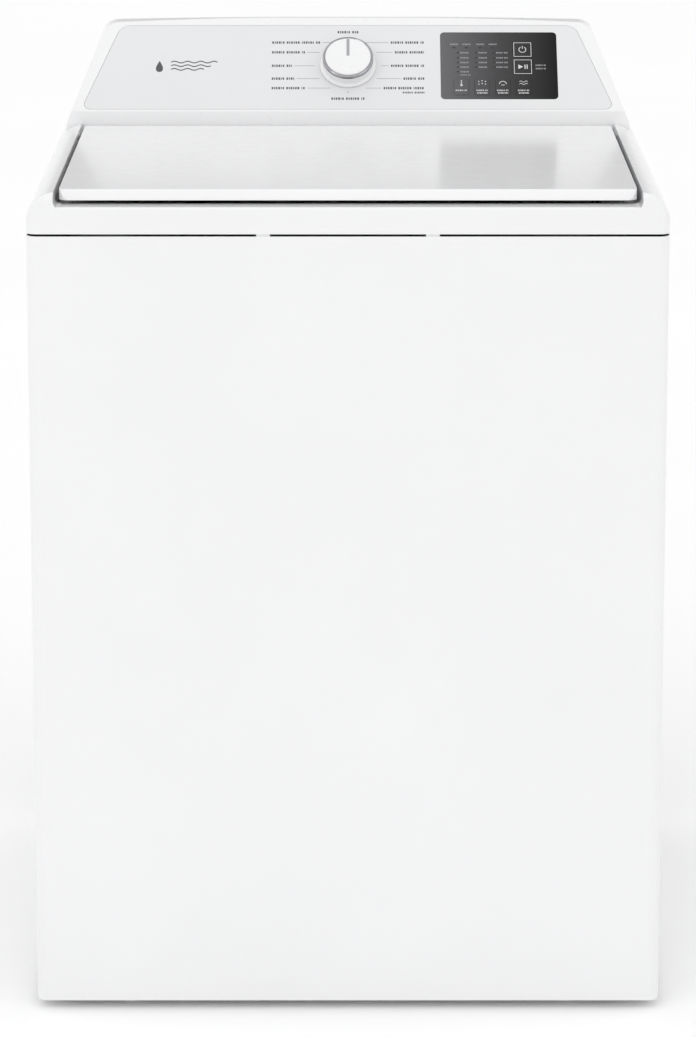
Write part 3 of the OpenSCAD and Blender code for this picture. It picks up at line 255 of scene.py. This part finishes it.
WHITE = (0.775, 0.777, 0.783)
FINISH = {
    "white_enamel": coated("white_enamel", WHITE, 0.24, coat=0.25, peel=0.035),
    "gloss_white_enamel": coated("gloss_white_enamel", (0.79, 0.792, 0.798), 0.22, coat=0.06, peel=0.02,
                                 rough_spread=0.02),
    "galvanised_steel": spangled("galvanised_steel", (0.60, 0.61, 0.62)),
    "plated_steel": brushed("plated_steel", (0.62, 0.62, 0.60), (1, 1, 0.2), 0.3),
    "stainless": brushed("stainless", (0.70, 0.71, 0.72), (0.05, 0.05, 1)),
    "white_plastic": coated("white_plastic", WHITE, 0.30, coat=0.15, peel=0.03, grain=0.03),
    "fascia_plastic": coated("fascia_plastic", (0.69, 0.693, 0.70), 0.36, peel=0.02, grain=0.06),
    "grey_plastic": coated("grey_plastic", (0.52, 0.53, 0.54), 0.42, grain=0.12),
    "dark_plastic": coated("dark_plastic", (0.022, 0.022, 0.025), 0.45, mottle=0.1, grain=0.12),
    "tub_plastic": coated("tub_plastic", (0.62, 0.62, 0.60), 0.48, mottle=0.03, grain=0.15),
    "agitator_plastic": coated("agitator_plastic", (0.78, 0.79, 0.81), 0.34, coat=0.1, grain=0.08),
    "display_glass": glass_with_painted_reflection("display_glass", (0.125, 0.125, 0.13), (0.004, 0.004, 0.0045)),
    "circuit_board": solder_mask("circuit_board", (0.012, 0.12, 0.045)),
    "chrome_trim": brushed("chrome_trim", (0.36, 0.36, 0.38), (1, 1, 1), 0.12),
    "pointer_grey": coated("pointer_grey", (0.33, 0.34, 0.35), 0.38, mottle=0.04, grain=0.05),
    "black_rubber": coated("black_rubber", (0.016, 0.016, 0.017), 0.7, mottle=0.15, grain=0.3),
    "grey_rubber": coated("grey_rubber", (0.42, 0.42, 0.42), 0.65, mottle=0.05, grain=0.25),
    "cast_aluminium": coated("cast_aluminium", (0.55, 0.56, 0.57), 0.42, metallic=0.9, peel=0.3, grain=0.4),
    "motor_steel": coated("motor_steel", (0.035, 0.037, 0.042), 0.4, coat=0.1, mottle=0.1),
}
LABEL_INK = coated("label_ink", (0.075, 0.075, 0.08), 0.5, mottle=0.08, grain=0.05)
TICK_INK = coated("tick_ink", (0.30, 0.30, 0.31), 0.5, mottle=0.06, grain=0.05)
PALE_INK = coated("pale_ink", (0.30, 0.30, 0.31), 0.45, mottle=0.05, grain=0.05)
BRIGHT_INK = coated("bright_ink", (0.58, 0.58, 0.59), 0.45, mottle=0.05, grain=0.05)
LAMP_INK = coated("lamp_ink", (0.008, 0.008, 0.009), 0.2, mottle=0.1)

for node_name, node_object in NODES.items():
    node_object.data.materials.clear()
    node_object.data.materials.append(FINISH[SLOT_OF[node_name]])

# ---------------------------------------------------------------- print on the control face

# How far a print stands out of its surface and reaches into it, in millimetres
INK = 0.12
SINK = 0.05


def printed(name, outlines, body, material, out=0.0):
    """Flat printed shapes as one closed mesh. Each outline is a list of (across, up) in millimetres."""
    mesh = bmesh.new()
    for outline in outlines:
        area = sum(a[0] * b[1] - b[0] * a[1] for a, b in zip(outline, outline[1:] + outline[:1]))
        points = outline if area > 0 else outline[::-1]
        low = [mesh.verts.new(face_point(x, s, out - SINK)) for x, s in points]
        high = [mesh.verts.new(face_point(x, s, out + INK)) for x, s in points]
        mesh.faces.new(high)
        mesh.faces.new(low[::-1])
        for i, start in enumerate(low):
            after = (i + 1) % len(low)
            mesh.faces.new((start, low[after], high[after], high[i]))
    data = bpy.data.meshes.new(name)
    mesh.to_mesh(data)
    mesh.free()
    data.materials.append(material)
    piece = bpy.data.objects.new(name, data)
    bpy.context.scene.collection.objects.link(piece)
    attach(piece, body)


def bar(x, s, width, height):
    """A rectangle round its centre."""
    w, h = width / 2, height / 2
    return [(x - w, s - h), (x + w, s - h), (x + w, s + h), (x - w, s + h)]


def pill(x, s, width, height, steps=5):
    """A bar with round ends."""
    r = height / 2
    reach = max(width / 2 - r, 0)
    turn = [math.pi * i / steps - math.pi / 2 for i in range(steps + 1)]
    right = [(x + reach + r * math.cos(a), s + r * math.sin(a)) for a in turn]
    left = [(x - reach - r * math.cos(a), s - r * math.sin(a)) for a in turn]
    return right + left


def arc(x, s, radius, width, start, end, steps=20):
    """A band along an arc, between two angles in degrees."""
    turn = [math.radians(start + (end - start) * i / steps) for i in range(steps + 1)]
    outer = [(x + (radius + width / 2) * math.cos(a), s + (radius + width / 2) * math.sin(a)) for a in turn]
    inner = [(x + (radius - width / 2) * math.cos(a), s + (radius - width / 2) * math.sin(a)) for a in turn]
    return outer + inner[::-1]


def frame_bars(x, s, width, height, line):
    """Four bars round a rectangle."""
    w, h = (width - line) / 2, (height - line) / 2
    return [bar(x, s - h, width, line), bar(x, s + h, width, line),
            bar(x - w, s, line, height - 2 * line), bar(x + w, s, line, height - 2 * line)]


def wave(x0, s0, length, swing, width, cycles, steps=36):
    """A band along a sine wave."""
    line = [(x0 + length * i / steps, s0 + swing * math.sin(2 * math.pi * cycles * i / steps))
            for i in range(steps + 1)]
    return [(x, s + width / 2) for x, s in line] + [(x, s - width / 2) for x, s in line[::-1]]


BLOCK_WIDTHS = (1.9, 1.2, 1.8, 2.1, 0.9, 1.7, 2.0, 1.3)


def blocks(x0, x1, s, height, share=1.0, gap=1.05, space=6):
    """A row of small blocks that stands for a printed label, with a wider gap now and then."""
    shapes, x, i = [], x0, 0
    while x < x1 - 0.4:
        width = min(BLOCK_WIDTHS[i % len(BLOCK_WIDTHS)] * share, x1 - x)
        shapes.append(bar(x + width / 2, s, width, height))
        x += width + gap * share
        i += 1
        if i % space == 0 and x1 - x > 5 * share:
            x += 1.8 * share
    return shapes


KNOB_X, KNOB_S = face_centre("knob_body")
LABEL_H = 3.4
LABEL_EDGE = 92
TICK_GAP = 3
TICK_RING = 40
TICK_W = 0.55
# Each row round the knob: how far above its centre, and the widths of its left and right labels
LABEL_ROWS = [(35.2, 58, 40), (20.3, 40, 35), (-0.1, 24, 40), (-19.5, 27, 25), (-33.8, 41, 49)]
# The labels above and below the knob, and the small note under the last row on the right
TOP_LABEL_HALF = 12.5
TOP_LABEL_RISE = 51
LOW_LABEL_HALF = 20
LOW_LABEL_DROP = 49.6
NOTE_START = 66
NOTE_DROP = 40.5
NOTE_H = 2.6
NOTE_SHARE = 0.8

labels, ticks = [], []
for rise, left_w, right_w in LABEL_ROWS:
    s = KNOB_S + rise
    reach = math.sqrt(max(TICK_RING ** 2 - rise ** 2, 0))
    for side, width in ((-1, left_w), (1, right_w)):
        edge, inner = LABEL_EDGE, LABEL_EDGE - width
        ends = sorted((KNOB_X + side * edge, KNOB_X + side * inner))
        labels += blocks(ends[0], ends[1], s, LABEL_H)
        start = inner - TICK_GAP
        ticks.append(bar(KNOB_X + side * (start + reach) / 2, s, start - reach, TICK_W))
labels += blocks(KNOB_X - TOP_LABEL_HALF, KNOB_X + TOP_LABEL_HALF, KNOB_S + TOP_LABEL_RISE, LABEL_H)
labels += blocks(KNOB_X - LOW_LABEL_HALF, KNOB_X + LOW_LABEL_HALF, KNOB_S - LOW_LABEL_DROP, LABEL_H)
labels += blocks(KNOB_X + NOTE_START, KNOB_X + LABEL_EDGE, KNOB_S - NOTE_DROP, NOTE_H, NOTE_SHARE)
ticks.append(bar(KNOB_X, KNOB_S - TICK_RING, TICK_W * 1.4, LABEL_H))
printed("cycle_labels", labels, "cabinet", LABEL_INK)
printed("cycle_ticks", ticks, "cabinet", TICK_INK)

# A plain mark in place of the maker's: a drop beside three ripples
MARK_X, MARK_S = -228, 67
drop = [(MARK_X + 6 * math.sin(math.radians(a)) * math.sin(math.radians(a / 2)) ** 1.4,
         MARK_S - 1 - 8.5 * -math.cos(math.radians(a))) for a in range(0, 360, 12)]
ripples = [wave(MARK_X + 14, MARK_S + 5.5 - 5.5 * i, 56 - 8 * i, 1.3, 1.5, 3.5 - 0.5 * i) for i in range(3)]
printed("fascia_mark", [drop] + ripples, "cabinet", LABEL_INK)

# ---------------------------------------------------------------- print on the display window

WINDOW_X, WINDOW_S = face_centre("display_window")
COLUMNS = (-49.5, -27.3, -6)
HEAD_S = 32.3
LAMP_S = 27.2
ROWS = (19.4, 11.7, 4.6, -2.4, -9.4)
small, lamps = [], []
for x in (-54, -38.9, -22.2, -7.1):
    small += blocks(WINDOW_X + x - 4.5, WINDOW_X + x + 5, WINDOW_S + HEAD_S, 2.0, 0.55)
    lamps.append(pill(WINDOW_X + x, WINDOW_S + LAMP_S, 3.6, 1.7))
for column, (x, width, count) in enumerate(zip(COLUMNS, (10, 10, 14), (5, 4, 4))):
    for s in ROWS[:count]:
        lamps.append(pill(WINDOW_X + x, WINDOW_S + s, 3.2, 1.5))
        small += blocks(WINDOW_X + x + 3, WINDOW_X + x + 3 + width, WINDOW_S + s, 2.0, 0.55)
small += blocks(WINDOW_X + COLUMNS[0] + 3, WINDOW_X + COLUMNS[0] + 15, WINDOW_S - 14.2, 1.6, 0.5)
for s in (0.4, -4.6):
    small += blocks(WINDOW_X + 44.5, WINDOW_X + 57.5, WINDOW_S + s, 2.2, 0.55)
printed("window_labels", small, "cabinet", PALE_INK)
printed("window_lamps", lamps, "cabinet", LAMP_INK)


# ---------------------------------------------------------------- print on the keys


def key_top(node):
    """Centre of a key on the face, and how proud it stands, in millimetres."""
    x, s = face_centre(node)
    return x, s, (span(node, OUT)[1] - FACE_OUT) / MM


KEY_LINE = 0.7
KEY_SIDE = 21.5
x, s, proud = key_top("power_key")
printed("power_key_print",
        frame_bars(x, s, KEY_SIDE, KEY_SIDE, KEY_LINE)
        + [arc(x, s, 4.2, 0.9, 120, 420), bar(x, s + 3.4, 0.9, 4.2)],
        "power_button", BRIGHT_INK, proud)
x, s, proud = key_top("start_key")
printed("start_key_print",
        frame_bars(x, s, KEY_SIDE, KEY_SIDE, KEY_LINE)
        + [[(x - 5.5, s - 3.4), (x + 0.4, s), (x - 5.5, s + 3.4)],
           bar(x + 2.6, s, 1.3, 6.4), bar(x + 5.2, s, 1.3, 6.4)],
        "start_button", BRIGHT_INK, proud)


def thermometer(x, s):
    return [pill(x, s + 1.2, 1.5, 1.5), bar(x, s + 0.4, 1.3, 7), pill(x, s - 3.6, 3.2, 3.2)]


def soil_marks(x, s):
    places = ((-4, 2), (0, 3), (4, 2), (-4, -2), (0, -1), (4, -2))
    return [pill(x + dx, s + ds, 1.6, 1.6) for dx, ds in places]


def arch(x, s):
    return [arc(x, s - 2, 4.2, 0.9, 0, 180), bar(x, s - 3.4, 4, 0.9)]


def ripple_pair(x, s):
    return [wave(x - 5, s + 1.8, 10, 0.9, 0.8, 1.5), wave(x - 5, s - 1.8, 10, 0.9, 0.8, 1.5)]


for i, icon in enumerate((thermometer, soil_marks, arch, ripple_pair), 1):
    x, s, proud = key_top(f"option_key_{i}")
    shapes = icon(x, s + 6) + blocks(x - 7, x + 7, s - 5.4, 2.0, 0.6)
    if i > 1:
        shapes += blocks(x - 6, x + 6, s - 9.3, 2.0, 0.6)
    printed(f"option_print_{i}", shapes, f"option_button_{i}", BRIGHT_INK, proud)

# ---------------------------------------------------------------- floor, light and camera

FLOOR_HALF = 30
FLOOR_Z = cad_low.z - 0.2 * MM
floor_mesh = bmesh.new()
corners = [(-1, -1), (1, -1), (1, 1), (-1, 1)]
floor_mesh.faces.new([floor_mesh.verts.new((FLOOR_HALF * x, FLOOR_HALF * y, FLOOR_Z))
                      for x, y in corners])
floor_data = bpy.data.meshes.new("floor")
floor_mesh.to_mesh(floor_data)
floor_mesh.free()
floor = bpy.data.objects.new("floor", floor_data)
bpy.context.scene.collection.objects.link(floor)
floor_paint, floor_tree, floor_shader = new_material("floor_paint")
floor_tone = noise(floor_tree, object_vector(floor_tree), 0.8)
link(floor_tree, ramp(floor_tree, floor_tone, [(0.3, (0.94, 0.94, 0.94)), (0.7, (0.96, 0.96, 0.96))]),
     floor_shader.inputs["Base Color"])
floor_shader.inputs["Roughness"].default_value = 0.9
floor_shader.inputs["Specular IOR Level"].default_value = 0.1
floor_data.materials.append(floor_paint)

# A soft room: brightest where the camera stands, dimmer overhead and behind the machine
SKY_STRENGTH = 1.17
BRIGHT_SIDE = Vector((-0.25, -0.9, 0.3)).normalized()
CARD_SIDE = Vector((0, 0.886, 0.463)).normalized()
world = bpy.data.worlds.new("studio")
bpy.context.scene.world = world
world.use_nodes = True
sky = world.node_tree
coord = sky.nodes.new("ShaderNodeTexCoord")
facing = sky.nodes.new("ShaderNodeVectorMath")
facing.operation = "DOT_PRODUCT"
facing.inputs[1].default_value = BRIGHT_SIDE
link(sky, coord.outputs["Generated"], facing.inputs[0])
tone = ramp(sky, remap(sky, facing.outputs["Value"], 0.0, 1.0, -1, 1),
            [(0.0, (0.80, 0.80, 0.805)), (0.5, (0.93, 0.93, 0.932)), (1.0, (1.0, 1.0, 1.0))])
# A dark card high up behind the machine, which the upper edge of the knob's trim picks up
card = sky.nodes.new("ShaderNodeVectorMath")
card.operation = "DOT_PRODUCT"
card.inputs[1].default_value = CARD_SIDE
link(sky, coord.outputs["Generated"], card.inputs[0])
shaded = sky.nodes.new("ShaderNodeMix")
shaded.data_type = "RGBA"
link(sky, remap(sky, card.outputs["Value"], 0.0, 1.0, 0.90, 0.96), shaded.inputs["Factor"])
link(sky, tone, shaded.inputs["A"])
shaded.inputs["B"].default_value = (0.12, 0.12, 0.125, 1)
link(sky, shaded.outputs["Result"], sky.nodes["Background"].inputs["Color"])
sky.nodes["Background"].inputs["Strength"].default_value = SKY_STRENGTH


def softbox(name, place, target, size, power):
    light = bpy.data.lights.new(name, "AREA")
    light.shape = "RECTANGLE"
    light.size, light.size_y = size
    light.energy = power
    lamp = bpy.data.objects.new(name, light)
    lamp.location = place
    lamp.rotation_euler = (Vector(target) - Vector(place)).to_track_quat("-Z", "Y").to_euler()
    bpy.context.scene.collection.objects.link(lamp)


CENTRE = (cad_low + cad_high) / 2
softbox("key_light", (-2.6, -3.4, 3.2), CENTRE, (2.2, 2.2), 16)
softbox("fill_light", (3.0, -2.6, 2.2), CENTRE, (2.0, 2.6), 6)

CAMERA_AWAY = 4.3
CAMERA_Z = 1.666
CAMERA_DOWN = 11.083
camera_data = bpy.data.cameras.new("camera")
camera_data.sensor_width = 36
camera_data.lens = 140.07
camera_data.shift_y = -0.22
camera_data.clip_start, camera_data.clip_end = 0.1, 60
camera = bpy.data.objects.new("camera", camera_data)
camera.location = (0, cad_low.y - CAMERA_AWAY, CAMERA_Z)
camera.rotation_euler = (math.radians(90 - CAMERA_DOWN), 0, 0)
bpy.context.scene.collection.objects.link(camera)
bpy.context.scene.camera = camera
bpy.context.scene.view_settings.view_transform = "Standard"
